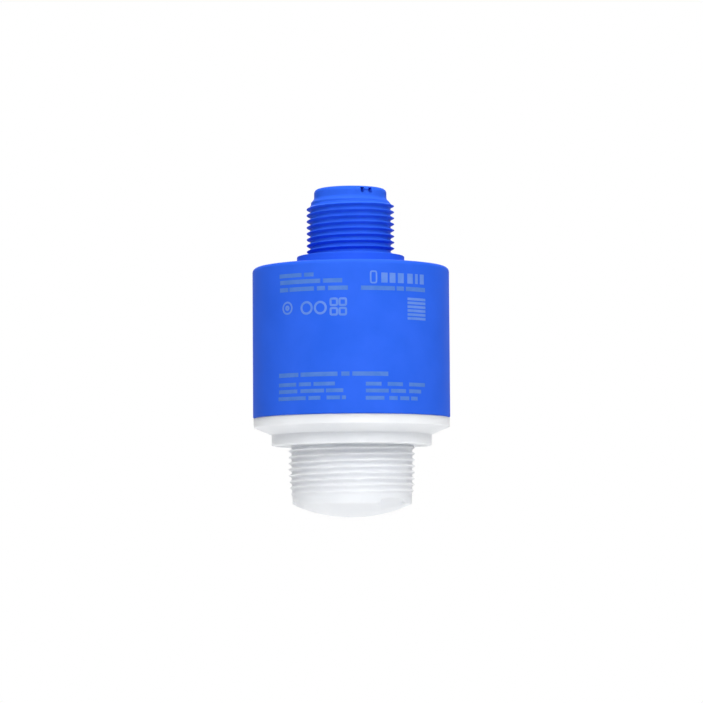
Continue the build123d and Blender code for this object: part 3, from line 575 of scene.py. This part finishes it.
# Pale print on the front: plain bars and shapes, as azimuths from the front in degrees and heights in millimetres
printing = {
    "inner": 37.19, "outer": 37.25,
    "bars": [
        (61.75, 1.5, [(-45, -29.1), (-27.5, -21.5)]),
        (59.3, 1.6, [(-44.6, -17.5), (-15.9, -4.8)]),
        (56.55, 1.6, [(-44.7, -38.2), (-37.4, -21.3), (-19.5, -14.7), (-13, -1.6)]),
        (56.5, 1.6, [(5.7, 25.8), (26.9, 31.7), (33, 47.5)]),
        (25.0, 1.6, [(-45.8, -31.5), (-30.1, -7.8), (-5.7, -1), (0.5, 21.3)]),
        (21.45, 1.4, [(-45.9, -33), (-31.2, -23.5), (-21.9, -9.3)]),
        (18.95, 1.4, [(-45.9, -32.3), (-30.2, -15.6), (-14.5, -4.6)]),
        (16.35, 1.4, [(-46.3, -26.8), (-25.1, -17.8), (-14.2, -6.4), (-5.5, -3.1)]),
        (21.3, 1.4, [(8.1, 17.2), (20.9, 30.5), (34.7, 46.8)]),
        (18.8, 1.4, [(8.1, 21.5), (22.9, 32.5), (34.7, 43.6)]),
        (16.15, 1.4, [(8, 18.9), (21.8, 27), (28.7, 34.7), (36.1, 40.8)]),
    ],
    "blocks": [
        (60.35, 3.7, [(17.5, 21.3), (22.5, 26.2), (27.7, 31.6), (34, 37.9), (39.6, 41.6), (43.2, 46.5)]),
    ],
    "rings": [(-39.0, 49.8, 2.1, 0.7), (-39.0, 49.8, 0.6, 0.8), (-26.0, 49.5, 2.1, 0.85), (-17.6, 49.4, 2.1, 0.85)],
    "frames": [(13.0, 60.5, 2.2, 4.2, 0.6), (-9.7, 51.4, 2.4, 2.4, 0.8), (-4.6, 51.4, 2.4, 2.4, 0.8),
               (-9.7, 47.9, 2.4, 2.4, 0.8), (-4.6, 47.9, 2.4, 2.4, 0.8)],
    "panel": (40.85, 49.25, 8.9, 8.6), "panelRows": 6,
}


def strokes(path, width, inner, outer, closed):
    # a flat band along a line of (arc length, height) points, wrapped on the body and given a thin section
    step = np.roll(path, -1, 0) - np.roll(path, 1, 0) if closed else np.gradient(path, axis=0)
    step = step / np.linalg.norm(step, axis=1)[:, None]
    across = np.stack([-step[:, 1], step[:, 0]], -1) * width / 2
    flat = np.stack([path - across, path - across, path + across, path + across], 1)
    radius = np.array([inner, outer, outer, inner])[None, :] * np.ones((len(path), 1))
    turn = flat[..., 0] / outer
    points = np.stack([radius * np.sin(turn), -radius * np.cos(turn), flat[..., 1]], -1).reshape(-1, 3)
    here = np.arange(len(path) * 4).reshape(-1, 4)
    if closed:
        here = np.vstack([here, here[:1]])
    low, high = here[:-1], here[1:]
    faces = np.stack([low, high, np.roll(high, -1, 1), np.roll(low, -1, 1)], -1).reshape(-1, 4)
    return points, faces if closed else np.vstack([faces, here[:1], here[-1:, ::-1]])


def makePrint(p):
    perDegree = math.radians(p["outer"])
    small, parts = [], []
    for rows, found in ((p["bars"], small), (p["blocks"], parts)):
        for height, width, spans in rows:
            for first, last in spans:
                along = np.linspace(first * perDegree, last * perDegree, 2 + int((last - first) / 2.5))
                line = np.stack([along, np.full_like(along, height)], -1)
                found.append(strokes(line, width, p["inner"], p["outer"], False))
    turn = np.linspace(0, 2 * math.pi, 48, endpoint=False)
    for azimuth, height, radius, width in p["rings"]:
        path = np.stack([azimuth * perDegree + radius * np.cos(turn), height + radius * np.sin(turn)], -1)
        parts.append(strokes(path, width, p["inner"], p["outer"], True))
    for azimuth, height, wide, tall, width in p["frames"]:
        # a rounded frame: the circle's cosine and sine raised to a low power
        x = np.sign(np.cos(turn)) * np.abs(np.cos(turn)) ** 0.35 * wide / 2
        y = np.sign(np.sin(turn)) * np.abs(np.sin(turn)) ** 0.35 * tall / 2
        parts.append(strokes(np.stack([azimuth * perDegree + x, height + y], -1), width, p["inner"], p["outer"], True))
    azimuth, height, wide, tall = p["panel"]
    along = azimuth * perDegree + np.linspace(-wide / 2, wide / 2, 6)
    step = tall / p["panelRows"]
    for row in range(p["panelRows"]):
        line = np.stack([along, np.full_like(along, height + (row - (p["panelRows"] - 1) / 2) * step)], -1)
        parts.append(strokes(line, step * 2 / 3, p["inner"], p["outer"], False))
    return buildPiece("small_print", small, "print_faint"), buildPiece("front_print", parts, "print_pale")


makePrint(printing)

# Floor and backdrop, not part of the object
stage = {"level": -0.16, "half": 0.9, "white": 0.45, "sky": 0.03}
floorMesh = bpy.data.meshes.new("floor")
square = [(x * stage["half"], y * stage["half"], stage["level"]) for x, y in ((-1, -1), (1, -1), (1, 1), (-1, 1))]
floorMesh.from_pydata(square, [], [(0, 1, 2, 3)])
floor = bpy.data.objects.new("floor", floorMesh)
bpy.context.scene.collection.objects.link(floor)


def seenDirectly(sheet):
    # 1 for rays from the camera, off a gloss or through glass
    path = sheet.tree.nodes.new("ShaderNodeLightPath")
    rays = [Wire(sheet, path.outputs[name]) for name in ("Is Camera Ray", "Is Glossy Ray", "Is Transmission Ray")]
    both = sheet.add("ShaderNodeMath", {"operation": "MAXIMUM"}, {0: rays[0], 1: rays[1]})
    return sheet.add("ShaderNodeMath", {"operation": "MAXIMUM"}, {0: both, 1: rays[2]})


floorSheet = Sheet("pale_floor")
speckle = floorSheet.noise(floorSheet.place(), 40.0, 3.0)
floorSheet.plug(floorSheet.shader, {
    "Base Color": floorSheet.blend(speckle, (0.86, 0.86, 0.86, 1), (0.9, 0.9, 0.9, 1)), "Roughness": 0.9,
    "Emission Color": (1, 1, 1, 1), "Emission Strength": seenDirectly(floorSheet) * stage["white"],
})
floorMesh.materials.append(floorSheet.material)

world = bpy.data.worlds.new("studio")
world.use_nodes = True
bpy.context.scene.world = world
backdrop = Sheet.__new__(Sheet)
backdrop.tree = world.node_tree
direct = seenDirectly(backdrop)
backdrop.plug(world.node_tree.nodes["Background"], {
    "Color": (1, 1, 1, 1), "Strength": stage["sky"] + (1 - stage["sky"]) * direct,
})
print("floor and backdrop set")
